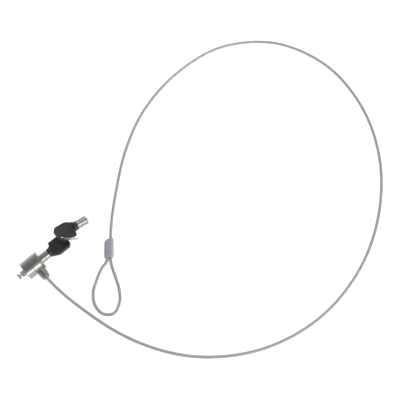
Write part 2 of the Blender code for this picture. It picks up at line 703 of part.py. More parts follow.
def main():
    clear_scene()
    axis = Matrix.Translation((HEAD_X, HEAD_Y, AXIS_Z))
    rolled = axis @ Matrix.Rotation(PIN_ROLL, 4, "X")
    keyed = axis @ Matrix.Rotation(KEY_1_ROLL, 4, "X")
    core = build_lock(axis, rolled, keyed)
    build_keys(keyed, core)
    ferrule_sleeve()
    ferrule_boot()
    security_cable()


main()
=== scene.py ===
"""Looks for the keyed security cable: a lock head, two keys on a split ring and a jacketed steel cable."""
import json
import math

import bmesh
import bpy
import numpy as np
from mathutils import Matrix, Vector


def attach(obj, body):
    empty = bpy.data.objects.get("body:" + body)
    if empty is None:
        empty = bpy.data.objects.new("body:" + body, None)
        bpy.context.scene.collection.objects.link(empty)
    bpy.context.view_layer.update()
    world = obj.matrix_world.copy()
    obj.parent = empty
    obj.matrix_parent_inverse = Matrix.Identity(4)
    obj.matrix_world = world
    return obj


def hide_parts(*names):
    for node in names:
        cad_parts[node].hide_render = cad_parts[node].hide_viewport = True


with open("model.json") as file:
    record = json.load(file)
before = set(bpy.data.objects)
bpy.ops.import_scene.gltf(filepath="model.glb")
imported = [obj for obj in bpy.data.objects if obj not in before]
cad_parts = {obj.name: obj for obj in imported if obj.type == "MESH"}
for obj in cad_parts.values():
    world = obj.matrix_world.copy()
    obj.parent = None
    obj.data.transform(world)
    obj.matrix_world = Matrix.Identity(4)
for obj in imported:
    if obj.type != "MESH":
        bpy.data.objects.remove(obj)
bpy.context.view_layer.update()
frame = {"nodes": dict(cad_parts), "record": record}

MM = 0.001

# Frames and sizes of the head, keys and ring, as in the CAD source, in metres.
AXIS = Matrix.Translation((-0.0440, 0.0025, 0.0119))
ROLLED = AXIS @ Matrix.Rotation(math.radians(33), 4, "X")
KEYED = AXIS @ Matrix.Rotation(math.radians(-12), 4, "X")
GLAND = AXIS @ Matrix.Translation((0.0153, 0, 0)) @ Matrix.Rotation(-math.pi / 2, 4, "Z")
KEY_SEAT = 0.0188
HOUSING_R = 0.0114
SPIGOT_R = 0.0100
BORE_R = 0.0088
COLLAR_R = 0.0117
COLLAR_BORE = 0.0103
FLANGE_R = 0.0119
CAP_START = 0.0213
CAP_END = 0.0233
GLAND_TIP = 0.0226
NECK_R = 0.0011
GUARD_R = 0.0010
GUARD_SPREAD = 0.00245
GUARD_REACH = 0.0056
PIN_CIRCLE = 0.00565
BITTING = [0.0016, 0.0008, 0.0020, 0.0012, 0.0022, 0.0009, 0.0015]
BARREL_R = 0.0055
BARREL_BORE = 0.0042
BARREL_LENGTH = 0.0155
BOW_LENGTH = 0.0283
BOW_HALF = 0.0113
BOW_THICK = 0.0042
RING_HOLE = (0.0238, 0.0057)
RING_HOLE_LONG = 0.00325
RING_HOLE_WIDE = 0.0023
KEY_2_TIP = (0.0519, 0.0092)
KEY_2_PITCH = math.radians(20.5)
KEY_2_YAW = math.radians(0.2)
RING_CENTRE = Vector((0.0209, 0.0, 0.0126))
RING_HEADING = math.radians(-42.5)
RING_LEAN = math.radians(16)
RING_R = 0.0102

# The ring's two close coils are of thinner wire than the CAD source's single one.
WIRE_R = 0.00048

# The cable's route, as in the CAD source, in metres.
CABLE_R = 0.0020
EXIT = (-0.0287, -0.0201, 0.0119)
BOOT_FRAME = Matrix.Translation((0.0424, -0.0484, 0.0040)) @ Matrix.Rotation(math.radians(51.3), 4, "Z")
LEG_SPREAD = 0.00215
DESCENT = [(-0.0284, -0.028, 0.0117), (-0.0270, -0.042, 0.0098), (-0.0240, -0.060, 0.0058),
           (-0.0202, -0.077, 0.0032)]
GROUND_RING = [(-0.011, -0.112), (0.002, -0.146), (0.040, -0.204), (0.105, -0.252), (0.180, -0.272),
               (0.260, -0.264), (0.333, -0.231), (0.393, -0.179), (0.433, -0.112), (0.446, -0.031),
               (0.419, 0.043), (0.357, 0.089), (0.278, 0.098), (0.200, 0.080), (0.150, 0.052), (0.101, 0.012)]
CABLE_Z = 0.0022
APPROACH = [(0.077, -0.0106, 0.0027)]
EYE = [(0.038, -0.060, 0.0030), (0.0332, -0.0725, 0.0024), (0.027, -0.087, 0.0022), (0.017, -0.100, 0.0022),
       (0.004, -0.1053, 0.0022), (-0.0055, -0.0975, 0.0022), (-0.0067, -0.084, 0.0022),
       (0.001, -0.0695, 0.0022), (0.014, -0.060, 0.0024), (0.027, -0.053, 0.0030)]

# How far apart the points of the cable's smooth curve are.
CABLE_STEP = 0.0015


# ---------------------------------------------------------------- camera, floor and light

def camera():
    data = bpy.data.cameras.new("camera")
    data.sensor_width = 36
    data.lens = 51.93
    data.clip_start = 0.01
    data.clip_end = 20
    obj = bpy.data.objects.new("camera", data)
    bpy.context.scene.collection.objects.link(obj)
    obj.location = (-0.0081, -0.2710, 0.6861)
    target = Vector((0.1774, -0.0650, 0.0))
    obj.rotation_euler = (target - obj.location).to_track_quat("-Z", "Y").to_euler()
    bpy.context.scene.camera = obj


def area_light(name, location, target, size, energy):
    data = bpy.data.lights.new(name, "AREA")
    data.shape = "RECTANGLE"
    data.size, data.size_y = size
    data.energy = energy
    obj = bpy.data.objects.new(name, data)
    bpy.context.scene.collection.objects.link(obj)
    obj.location = location
    obj.rotation_euler = (Vector(target) - Vector(location)).to_track_quat("-Z", "Y").to_euler()


def stage():
    bm = bmesh.new()
    bmesh.ops.create_grid(bm, x_segments=1, y_segments=1, size=4.0)
    mesh = bpy.data.meshes.new("floor")
    bm.to_mesh(mesh)
    bm.free()
    floor = bpy.data.objects.new("floor", mesh)
    bpy.context.scene.collection.objects.link(floor)
    mat = bpy.data.materials.new("floor")
    mat.use_nodes = True
    shader = mat.node_tree.nodes["Principled BSDF"]
    shader.inputs["Base Color"].default_value = (0.92, 0.92, 0.92, 1)
    shader.inputs["Emission Color"].default_value = (1, 1, 1, 1)
    shader.inputs["Emission Strength"].default_value = 0.6
    shader.inputs["Roughness"].default_value = 0.9
    shader.inputs["Specular IOR Level"].default_value = 0.1
    mesh.materials.append(mat)
    world = bpy.data.worlds.new("studio")
    bpy.context.scene.world = world
    world.use_nodes = True
    nodes, links = world.node_tree.nodes, world.node_tree.links
    coord = nodes.new("ShaderNodeTexCoord")
    split = nodes.new("ShaderNodeSeparateXYZ")
    ramp = nodes.new("ShaderNodeValToRGB")
    ramp.color_ramp.elements[0].position = 0.0
    ramp.color_ramp.elements[0].color = (0.95, 0.95, 0.96, 1)
    ramp.color_ramp.elements[1].position = 1.0
    ramp.color_ramp.elements[1].color = (0.30, 0.30, 0.31, 1)
    links.new(coord.outputs["Generated"], split.inputs[0])
    links.new(split.outputs["Z"], ramp.inputs[0])
    links.new(ramp.outputs[0], nodes["Background"].inputs["Color"])
    nodes["Background"].inputs["Strength"].default_value = 0.9
    area_light("key_light", (0.35, -1.4, 0.80), (0.05, -0.05, 0), (1.8, 0.34), 17)
    area_light("fill_light", (1.2, 0.9, 1.5), (0.15, -0.05, 0), (1.4, 1.4), 6)
    bpy.context.scene.view_settings.view_transform = "Standard"


# ---------------------------------------------------------------- materials

def shader_of(name):
    mat = bpy.data.materials.new(name)
    mat.use_nodes = True
    nodes = mat.node_tree.nodes
    return mat, nodes, mat.node_tree.links, nodes["Principled BSDF"]


def ramp_node(nodes, low, high, start=0.3, end=0.7):
    """A ramp from one colour to another between two factors."""
    ramp = nodes.new("ShaderNodeValToRGB")
    ramp.color_ramp.elements[0].position = start
    ramp.color_ramp.elements[0].color = (*low, 1)
    ramp.color_ramp.elements[1].position = end
    ramp.color_ramp.elements[1].color = (*high, 1)
    return ramp


def noise_node(nodes, scale, detail=4.0, rough=0.6):
    noise = nodes.new("ShaderNodeTexNoise")
    noise.inputs["Scale"].default_value = scale
    noise.inputs["Detail"].default_value = detail
    noise.inputs["Roughness"].default_value = rough
    return noise


def spread(nodes, links, socket, low, high):
    """Map a 0.3-0.7 factor to a range of a number."""
    node = nodes.new("ShaderNodeMapRange")
    node.inputs["From Min"].default_value = 0.3
    node.inputs["From Max"].default_value = 0.7
    node.inputs["To Min"].default_value = low
    node.inputs["To Max"].default_value = high
    links.new(socket, node.inputs["Value"])
    return node.outputs["Result"]


def place_socket(nodes, own):
    """Where a point lies in its piece's own frame; carried-over nodes have only object coordinates."""
    if not own:
        return nodes.new("ShaderNodeTexCoord").outputs["Object"]
    place = nodes.new("ShaderNodeAttribute")
    place.attribute_name = "own_place"
    return place.outputs["Vector"]


def turned_vector(nodes, links, coord, fine, round_scale):
    """A place changed to (along, radius) x fine and the angle's cosine x round_scale: lathe marks."""
    split = nodes.new("ShaderNodeSeparateXYZ")
    links.new(coord, split.inputs[0])
    flat = nodes.new("ShaderNodeCombineXYZ")
    links.new(split.outputs["Y"], flat.inputs["Y"])
    links.new(split.outputs["Z"], flat.inputs["Z"])
    length = nodes.new("ShaderNodeVectorMath")
    length.operation = "LENGTH"
    links.new(flat.outputs[0], length.inputs[0])
    join = nodes.new("ShaderNodeCombineXYZ")
    for output, target, factor in ((split.outputs["X"], "X", fine), (length.outputs["Value"], "Y", fine),
                                   (split.outputs["Z"], "Z", round_scale)):
        scale = nodes.new("ShaderNodeMath")
        scale.operation = "MULTIPLY"
        scale.inputs[1].default_value = factor
        links.new(output, scale.inputs[0])
        links.new(scale.outputs[0], join.inputs[target])
    return join.outputs[0]


def paler_edges(nodes, links, tone, pale, start):
    """Turn a colour into a paler one where the surface is sharply convex: partly edge wear, partly a painted
    sheen on the edges.
    """
    edge = nodes.new("ShaderNodeNewGeometry")
    wear_and_sheen = nodes.new("ShaderNodeMapRange")
    wear_and_sheen.inputs["From Min"].default_value = start
    wear_and_sheen.inputs["From Max"].default_value = 0.62
    links.new(edge.outputs["Pointiness"], wear_and_sheen.inputs["Value"])
    mix = nodes.new("ShaderNodeMix")
    mix.data_type = "RGBA"
    mix.inputs["B"].default_value = (*pale, 1)
    links.new(wear_and_sheen.outputs["Result"], mix.inputs["Factor"])
    links.new(tone, mix.inputs["A"])
    return mix.outputs["Result"]


def relief(nodes, links, height, strength, depth):
    bump = nodes.new("ShaderNodeBump")
    bump.inputs["Strength"].default_value = strength
    bump.inputs["Distance"].default_value = depth
    links.new(height, bump.inputs["Height"])
    return bump.outputs[0]


def turned_metal(name, dark, light, roughness, own=True, fine=5200.0, round_scale=260.0, depth=0.00001):
    """Satin plated metal with the fine rings that a lathe leaves, blotches and paler edges."""
    mat, nodes, links, shader = shader_of(name)
    coord = place_socket(nodes, own)
    vector = turned_vector(nodes, links, coord, fine, round_scale)
    marks = noise_node(nodes, 1.0, 3.0, 0.7)
    links.new(vector, marks.inputs["Vector"])
    blotch = noise_node(nodes, 420.0, 5.0, 0.65)
    links.new(coord, blotch.inputs["Vector"])
    tone = ramp_node(nodes, dark, light, 0.35, 0.68)
    links.new(blotch.outputs["Fac"], tone.inputs[0])
    pale = [min(1.0, part * 1.35) for part in light]
    links.new(paler_edges(nodes, links, tone.outputs[0], pale, 0.53), shader.inputs["Base Color"])
    shader.inputs["Metallic"].default_value = 1.0
    links.new(spread(nodes, links, marks.outputs["Fac"], roughness - 0.07, roughness + 0.09),
              shader.inputs["Roughness"])
    links.new(relief(nodes, links, marks.outputs["Fac"], 0.35, depth), shader.inputs["Normal"])
    return mat


def moulded_plastic(name, dark, light, roughness, grain=2600.0, depth=0.00002, coat=0.0, edge_gain=1.5,
                    own=True):
    """Moulded plastic: a fine spark-eroded grain, faint blotches, and edges a little paler, partly rubbed and
    partly a painted sheen.
    """
    mat, nodes, links, shader = shader_of(name)
    coord = place_socket(nodes, own)
    fine = noise_node(nodes, grain, 3.0, 0.6)
    broad = noise_node(nodes, 160.0, 4.0, 0.6)
    for noise in (fine, broad):
        links.new(coord, noise.inputs["Vector"])
    tone = ramp_node(nodes, dark, light)
    links.new(broad.outputs["Fac"], tone.inputs[0])
    # Paler edges on the plastic: partly rubbing, partly a painted sheen standing for shinier edges.
    pale = [min(1.0, part * edge_gain) for part in light]
    links.new(paler_edges(nodes, links, tone.outputs[0], pale, 0.52), shader.inputs["Base Color"])
    links.new(spread(nodes, links, fine.outputs["Fac"], roughness - 0.06, roughness + 0.08),
              shader.inputs["Roughness"])
    shader.inputs["Coat Weight"].default_value = coat
    shader.inputs["Coat Roughness"].default_value = 0.25
    links.new(relief(nodes, links, fine.outputs["Fac"], 0.4, depth), shader.inputs["Normal"])
    return mat


def jacket_material():
    """Clear jacket over a steel strand: the lobe attribute is 1 over a strand and -1 over a valley."""
    mat, nodes, links, shader = shader_of("cable_jacket")
    lobe = nodes.new("ShaderNodeAttribute")
    lobe.attribute_name = "lobe"
    coord = nodes.new("ShaderNodeTexCoord")
    cloud = noise_node(nodes, 90.0, 4.0, 0.6)
    links.new(coord.outputs["Object"], cloud.inputs["Vector"])
    weave = nodes.new("ShaderNodeMapRange")
    weave.inputs["From Min"].default_value = -1.0
    weave.inputs["From Max"].default_value = 1.0
    links.new(lobe.outputs["Fac"], weave.inputs["Value"])
    strands = ramp_node(nodes, (0.27, 0.275, 0.277), (0.45, 0.456, 0.46), 0.0, 0.6)
    links.new(weave.outputs["Result"], strands.inputs[0])
    mist = ramp_node(nodes, (0.88, 0.90, 0.90), (1.0, 1.0, 1.0))
    links.new(cloud.outputs["Fac"], mist.inputs[0])
    mix = nodes.new("ShaderNodeMix")
    mix.data_type = "RGBA"
    mix.blend_type = "MULTIPLY"
    mix.inputs["Factor"].default_value = 1.0
    links.new(strands.outputs[0], mix.inputs["A"])
    links.new(mist.outputs[0], mix.inputs["B"])
    links.new(mix.outputs["Result"], shader.inputs["Base Color"])
    links.new(spread(nodes, links, cloud.outputs["Fac"], 0.28, 0.40), shader.inputs["Roughness"])
    shader.inputs["Metallic"].default_value = 0.15
    shader.inputs["Coat Weight"].default_value = 0.6
    shader.inputs["Coat Roughness"].default_value = 0.12
    return mat


# ---------------------------------------------------------------- mesh helpers

def new_piece(name, bm, matrix, mat, sharp=32):
    bmesh.ops.recalc_face_normals(bm, faces=bm.faces[:])
    mesh = bpy.data.meshes.new(name)
    bm.to_mesh(mesh)
    bm.free()
    mesh.shade_smooth()
    mesh.set_sharp_from_angle(angle=math.radians(sharp))
    obj = bpy.data.objects.new(name, mesh)
    bpy.context.scene.collection.objects.link(obj)
    obj.matrix_world = matrix
    if mat:
        mesh.materials.append(mat)
    return obj


def combine(obj, bm, operation="DIFFERENCE", matrix=None):
    """Boolean with a solid given in the piece's own frame; the result is applied at once."""
    other = new_piece(obj.name + "_tool", bm, obj.matrix_world if matrix is None else matrix, None)
    mod = obj.modifiers.new("cut", "BOOLEAN")
    mod.operation = operation
    mod.solver = "EXACT"
    mod.object = other
    settle(obj)
    bpy.data.objects.remove(other, do_unlink=True)


def settle(obj):
    """Replace the mesh by what its modifiers make."""
    bpy.context.view_layer.update()
    evaluated = obj.evaluated_get(bpy.context.evaluated_depsgraph_get())
    mesh = bpy.data.meshes.new_from_object(evaluated)
    old = obj.data
    obj.modifiers.clear()
    obj.data = mesh
    name = old.name
    bpy.data.meshes.remove(old)
    mesh.name = name


def round_edges(obj, width, segments, angle=30):
    mod = obj.modifiers.new("round", "BEVEL")
    mod.width = width
    mod.segments = segments
    mod.limit_method = "ANGLE"
    mod.angle_limit = math.radians(angle)
    settle(obj)


def straighten(obj):
    """Turn the mesh instead of the object, and keep each point's own place for the material."""
    mesh = obj.data
    places = np.empty(3 * len(mesh.vertices), np.float32)
    mesh.vertices.foreach_get("co", places)
    mesh.attributes.new("own_place", "FLOAT_VECTOR", "POINT").data.foreach_set("vector", places)
    mesh.transform(obj.matrix_world.to_3x3().to_4x4())
    obj.matrix_world = Matrix.Translation(obj.matrix_world.translation)
    bpy.context.view_layer.update()


def dress(obj, body, slot, *nodes, sharp=32):
    """Even out the normals, tie the piece to its body and hide the CAD nodes it replaces; the slot is not
    used.
    """
    straighten(obj)
    obj.data.shade_smooth()
    obj.data.set_sharp_from_angle(angle=math.radians(sharp))
    even = obj.modifiers.new("even", "WEIGHTED_NORMAL")
    even.keep_sharp = True
    settle(obj)
    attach(obj, body)
    if nodes:
        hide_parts(*nodes)
    return obj


def rounded_corner(before, here, after, radius, share, steps):
    """A curve in place of a corner, which takes up at most a share of either side."""
    a, b = before - here, after - here
    reach = min(radius, a.length * share, b.length * share)
    start, end = here + a.normalized() * reach, here + b.normalized() * reach
    parts = [k / steps for k in range(steps + 1)]
    return [tuple((1 - t) ** 2 * start + 2 * t * (1 - t) * here + t * t * end) for t in parts]


def fillet(profile, radius, steps=3):
    """Round the corners of a closed (along, radius) outline; a third value in a point is its own radius."""
    points = [Vector(p[:2]) for p in profile]
    radii = [p[2] if len(p) > 2 else radius for p in profile]
    result = []
    for i, here in enumerate(points):
        before, after = points[i - 1], points[(i + 1) % len(points)]
        if radii[i] == 0 or here.y == 0:
            result.append(tuple(here))
            continue
        result += rounded_corner(before, here, after, radii[i], 0.45, steps)
    return result


def circle(bm, along, radius, segments, y=0.0, z=0.0, phase=0.0):
    if radius == 0:
        return [bm.verts.new((along, y, z))]
    turns = [2 * math.pi * (k + phase) / segments for k in range(segments)]
    return [bm.verts.new((along, y + radius * math.cos(t), z + radius * math.sin(t))) for t in turns]


def join_rings(bm, first, second):
    count = max(len(first), len(second))
    for k in range(count):
        n = (k + 1) % count
        if len(first) == 1:
            bm.faces.new((first[0], second[k], second[n]))
        elif len(second) == 1:
            bm.faces.new((first[k], first[n], second[0]))
        else:
            bm.faces.new((first[k], second[k], second[n], first[n]))


def close_tube(bm, rings):
    """Join rings of points into a tube with a cap on each end."""
    for first, second in zip(rings, rings[1:]):
        join_rings(bm, first, second)
    bm.faces.new(rings[0])
    bm.faces.new(rings[-1])


def turned(profile, segments=96):
    """Solid of revolution about local X; the outline is closed, or starts and ends on the axis."""
    bm = bmesh.new()
    rings = [circle(bm, along, radius, segments, phase=0.31) for along, radius in profile]
    last = len(rings) - 1 if len(rings[0]) == 1 else len(rings)
    for i in range(last):
        join_rings(bm, rings[i], rings[(i + 1) % len(rings)])
    return bm


def cylinder(bm, start, end, radius, y=0.0, z=0.0, segments=24):
    close_tube(bm, [circle(bm, along, radius, segments, y, z) for along in (start, end)])
    return bm


def box(low, high):
    bm = bmesh.new()
    size = Vector(high) - Vector(low)
    middle = (Vector(high) + Vector(low)) / 2
    bmesh.ops.create_cube(bm, size=1.0, matrix=Matrix.Translation(middle) @ Matrix.Diagonal((*size, 1.0)))
    return bm


def loft(lower, upper, low, high):
    """Solid between two plan outlines with the same number of points."""
    bm = bmesh.new()
    bottom = [bm.verts.new((x, y, low)) for x, y in lower]
    top = [bm.verts.new((x, y, high)) for x, y in upper]
    close_tube(bm, [bottom, top])
    return bm


def stadium(half_long, half_wide, segments=12):
    points = []
    for side in (1, -1):
        for k in range(segments + 1):
            turn = math.pi * k / segments - math.pi / 2
            points.append((side * (half_long - half_wide + half_wide * math.cos(turn)),
                           side * half_wide * math.sin(turn)))
    return points


def plan_fillet(outline, radius, steps=4):
    """Round the corners of a plan outline; a third value in a point is its own radius."""
    count = len(outline)
    points = [Vector(p[:2]) for p in outline]
    result = []
    for i, here in enumerate(points):
        own = outline[i][2] if len(outline[i]) > 2 else radius
        result += rounded_corner(points[i - 1], here, points[(i + 1) % count], own, 0.48, steps)
    return result


def pin_angles():
    return [2 * math.pi * (k + 1) / 8 for k in range(7)]


# ---------------------------------------------------------------- cable and its boot

def leg_point(along, side, rise=0.0):
    return BOOT_FRAME @ Vector((along * MM, side * LEG_SPREAD, rise * MM))


def cable_route():
    points = [Vector((EXIT[0], EXIT[1] + 0.0101, EXIT[2])), Vector(EXIT)]
    points += [Vector(p) for p in DESCENT]
    points += [Vector((x, y, CABLE_Z)) for x, y in GROUND_RING]
    points += [Vector(p) for p in APPROACH]
    points += [leg_point(along, -1) for along in (29.0, 23.0, 3.0, -3.0)]
    points += [Vector(p) for p in EYE]
    points += [leg_point(along, 1) for along in (-3.0, 3.0, 17.0)]
    return points


def blend_points(a, b, start, end, t):
    return a + (b - a) * ((t - start) / (end - start))


def spline_point(p0, p1, p2, p3, part):
    knots = [0.0]
    for a, b in ((p0, p1), (p1, p2), (p2, p3)):
        knots.append(knots[-1] + (b - a).length)
    t = knots[1] + (knots[2] - knots[1]) * part
    near = [blend_points(p0, p1, knots[0], knots[1], t), blend_points(p1, p2, knots[1], knots[2], t),
            blend_points(p2, p3, knots[2], knots[3], t)]
    wide = [blend_points(near[0], near[1], knots[0], knots[2], t),
            blend_points(near[1], near[2], knots[1], knots[3], t)]
    return blend_points(wide[0], wide[1], knots[1], knots[2], t)


def smooth(points, step):
    """Points read from one smooth curve through the route, about one step apart."""
    ends = [2 * points[0] - points[1]] + points + [2 * points[-1] - points[-2]]
    line = []
    for p0, p1, p2, p3 in zip(ends, ends[1:], ends[2:], ends[3:]):
        pieces = max(1, round((p2 - p1).length / step))
        line += [spline_point(p0, p1, p2, p3, k / pieces) for k in range(pieces)]
    return line + [points[-1]]


def cable():
    """Mesh tube along the route, with the faint relief of six strands under its jacket."""
    line = smooth(cable_route(), CABLE_STEP)
    sides, strands, lay, relief = 24, 6, 0.021, 0.00005
    bm = bmesh.new()
    layer = bm.verts.layers.float.new("lobe")
    rings = []
    up = Vector((0, 0, 1))
    along = 0.0
    for i, point in enumerate(line):
        ahead = (line[min(i + 1, len(line) - 1)] - line[max(i - 1, 0)]).normalized()
        side = ahead.cross(up).normalized()
        up_here = side.cross(ahead)
        if i:
            along += (point - line[i - 1]).length
        ring = []
        for k in range(sides):
            turn = 2 * math.pi * k / sides
            lobe = math.cos(strands * (turn - 2 * math.pi * along / lay))
            radius = CABLE_R - relief * (1 - lobe) / 2
            vert = bm.verts.new(point + radius * (math.cos(turn) * side + math.sin(turn) * up_here))
            vert[layer] = lobe
            ring.append(vert)
        rings.append(ring)
    close_tube(bm, rings)
    obj = new_piece("cable_strand", bm, Matrix.Identity(4), jacket_material(), 50)
    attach(obj, "cable_side")
    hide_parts("security_cable")
    return obj


def oval(half_wide, half_high, steps=10):
    """Oval section with round sides: (y, z) points all the way round."""
    flat = half_wide - half_high
    right = [(flat + half_high * math.cos(t), half_high * math.sin(t))
             for t in [math.pi * k / (2 * steps) - math.pi / 2 for k in range(2 * steps + 1)]]
    return right + [(-y, -z) for y, z in right]


def boot():
    """Moulded boot over the crimp: rounded oval, one shoulder cut away, a lip round its foot."""
    length, half, high, lip = 0.025, 0.006, 0.0039, 0.0005
    stations = [(0.0, -lip * 1.6), (0.00025, -lip), (0.0009, -lip * 0.4), (0.0016, 0.0), (0.0030, 0.0),
                (0.0120, -0.00008), (length - 0.0022, -0.00012), (length - 0.0010, -0.0003),
                (length - 0.00035, -0.0007), (length, -0.0014)]
    bm = bmesh.new()
    rings = []
    for along, inset in stations:
        ring = []
        for y, z in oval(half + inset, high + inset):
            slope = max(0.0, y + 0.0004) * 0.70 * (along / length) ** 1.5
            ring.append(bm.verts.new((along - slope, y, z)))
        rings.append(ring)
    close_tube(bm, rings)
    mat = moulded_plastic("boot_plastic", (0.32, 0.325, 0.36), (0.39, 0.395, 0.43), 0.42,
                          grain=1800.0, depth=0.00001, coat=0.15, edge_gain=1.15)
    obj = new_piece("crimp_boot", bm, BOOT_FRAME, mat, 60)
    hollow = bmesh.new()
    mouth = [[hollow.verts.new((along, y, z)) for y, z in oval(0.00455, 0.0024)]
             for along in (-0.001, 0.0008)]
    deep = [hollow.verts.new((0.0198, y, z)) for y, z in oval(LEG_SPREAD + 0.0032, 0.0032)]
    throat = [hollow.verts.new((0.0010, y, z)) for y, z in oval(LEG_SPREAD + 0.0032, 0.0032)]
    close_tube(hollow, [*mouth, throat, deep])
    combine(obj, hollow)
    combine(obj, cylinder(bmesh.new(), 0.019, length + 0.001, CABLE_R + 0.00015, y=-LEG_SPREAD, segments=32))
    return dress(obj, "cable_side", "boot_plastic", "ferrule_boot", sharp=45)


# ---------------------------------------------------------------- lock head

def head(metal, gland_metal):
    """Front half, swivelling collar with its socket, gland and rear cap of the lock head."""
    chamfer = 0.0005
    bore = 0.0014
    outline = [(0, bore, 0.0001), (0, HOUSING_R - chamfer, 0.0002), (chamfer, HOUSING_R, 0.0002),
               (0.0098, HOUSING_R, 0.0001), (0.0100, HOUSING_R - 0.0002, 0.0001), (0.0100, SPIGOT_R, 0),
               (0.0210, SPIGOT_R, 0), (0.0210, BORE_R, 0), (0.0034, BORE_R, 0), (0.0034, bore, 0)]
    obj = new_piece("head_front", turned(fillet(outline, 0)), ROLLED, metal)
    combine(obj, cylinder(bmesh.new(), -0.001, 0.0019, 0.0046, segments=64))
    dress(obj, "lock_body", "body_metal", "front_housing")

    obj = new_piece("head_collar", turned(fillet([
        (0.0103, 0), (0.0103, COLLAR_R - 0.00035, 0.0002), (0.01065, COLLAR_R, 0.0002),
        (0.01985, COLLAR_R, 0.0002), (0.0202, COLLAR_R - 0.00035, 0.0002), (0.0202, 0)], 0)), AXIS, metal)
    socket = fillet([(0.0090, 0), (0.0090, 0.0051), (0.0130, 0.0051, 0.0003), (0.0130, 0)], 0)
    combine(obj, turned(socket, 64), "UNION", GLAND)
    combine(obj, cylinder(bmesh.new(), 0.009, 0.0213, COLLAR_BORE, segments=96))
    combine(obj, cylinder(bmesh.new(), 0.0080, 0.0140, 0.0040, segments=48), matrix=GLAND)
    dress(obj, "cable_side", "body_metal", "swivel_collar")

    tip = GLAND_TIP
    gland = turned(fillet([
        (0.0112, 0.0031, 0), (0.0112, 0.0037, 0), (0.0133, 0.0037, 0), (0.0133, 0.0053, 0.0001),
        (0.0137, 0.0056, 0.0002), (0.0149, 0.0056, 0.0004), (0.0210, 0.0050, 0.002),
        (tip - 0.0004, 0.0048, 0.0005), (tip, 0.0044, 0.0003), (tip, 0.0034, 0.0002),
        (tip - 0.0011, 0.0030, 0.0001), (tip - 0.0011, 0.00225, 0), (0.0176, 0.00225, 0),
        (0.0176, 0.0031, 0)], 0), 64)
    dress(new_piece("head_gland", gland, GLAND, gland_metal), "cable_side", "gland_metal", "cable_gland")

    lip = BARREL_R + 0.00035
    obj = new_piece("head_cap", turned(fillet([
        (KEY_SEAT, 0.0070, 0), (KEY_SEAT, 0.0085, 0), (CAP_START, 0.0085, 0),
        (CAP_START, FLANGE_R - 0.0004, 0.0001), (CAP_START + 0.0004, FLANGE_R, 0.0002),
        (CAP_END - 0.0009, FLANGE_R, 0.0006), (CAP_END, FLANGE_R - 0.0010, 0.0008),
        (CAP_END, lip + 0.0004, 0.0002), (CAP_END - 0.0004, lip, 0.0002), (CAP_START, lip, 0),
        (CAP_START, 0.0070, 0)], 0)), AXIS, metal)
    combine(obj, box((0.0211, 0.0048, -0.0010), (0.0243, 0.0068, 0.0010)), matrix=KEYED)
    dress(obj, "lock_body", "body_metal", "rear_cap")


def nose(metal):
    """T-bar on its neck and the two guard pins in their plate."""
    neck = turned([(-0.0096, 0), (-0.0096, NECK_R), (0.0120, NECK_R), (0.0120, 0)], 32)
    obj = new_piece("nose_t_bar", neck, ROLLED, metal)
    bar = new_piece("bar_tool", box((-0.0099, -0.0034, -0.00145), (-0.0073, 0.0034, 0.00145)), ROLLED, None)
    round_edges(bar, 0.0004, 4)
    solid = bmesh.new()
    solid.from_mesh(bar.data)
    bpy.data.objects.remove(bar, do_unlink=True)
    combine(obj, solid, "UNION")
    combine(obj, box((0.0110, -0.0008, -0.0008), (0.0156, 0.0008, 0.0008)), "UNION")
    dress(obj, "core", "hardened_steel", "t_bar")
    obj = new_piece("nose_guards", turned(fillet([(0, 0.0014, 0), (0, 0.0043, 0.0002), (0.0016, 0.0043, 0),
                                                  (0.0016, 0.0014, 0)], 0), 64), ROLLED, metal)
    for side in (1, -1):
        pin = turned(fillet([(-GUARD_REACH, 0), (-GUARD_REACH, GUARD_R, 0.00035), (0.0008, GUARD_R, 0),
                             (0.0008, 0)], 0), 32)
        combine(obj, pin, "UNION", ROLLED @ Matrix.Translation((0, side * GUARD_SPREAD, 0)))
    dress(obj, "lock_body", "hardened_steel", "guard_pins")


# ---------------------------------------------------------------- keys and ring

def key_2_matrix():
    """The second key rests on the tip of its barrel, its bow raised to the ring."""
    turn = Matrix.Rotation(math.pi + KEY_2_YAW, 4, "Z") @ Matrix.Rotation(-KEY_2_PITCH, 4, "Y")
    tip_z = BARREL_R * math.cos(KEY_2_PITCH) + 0.00015
    return Matrix.Translation((*KEY_2_TIP, tip_z)) @ turn


def key_barrel(name, matrix, body, node, metal):
    """Hollow barrel with seven cuts in its end, a groove, the locating nib and a tang for the bow."""
    rim = 0.00035
    root = BARREL_LENGTH - 0.0003
    profile = [(0.0115, 0), (0.0115, BARREL_BORE, 0.0002), (rim, BARREL_BORE, 0.0001),
               (0, BARREL_BORE + rim, 0.0001), (0, BARREL_R - rim, 0.0001), (rim, BARREL_R, 0.0001),
               (0.0100, BARREL_R, 0.0001), (0.0102, BARREL_R - 0.0002, 0.0001),
               (0.0108, BARREL_R - 0.0002, 0.0001), (0.0110, BARREL_R, 0.0001),
               (root, BARREL_R, 0), (root, 0)]
    obj = new_piece(name, turned(fillet(profile, 0), 72), matrix, metal)
    cuts = bmesh.new()
    for depth, angle in zip(BITTING, pin_angles()):
        cylinder(cuts, -0.001, depth, 0.0010, PIN_CIRCLE * math.cos(angle), PIN_CIRCLE * math.sin(angle), 24)
    combine(obj, cuts)
    combine(obj, box((0.0006, 0.0049, -0.00065), (0.0022, 0.0064, 0.00065)), "UNION")
    combine(obj, box((root - 0.001, -0.0028, -0.0008), (root + 0.0086, 0.0028, 0.0008)), "UNION")
    dress(obj, body, "key_metal", node)


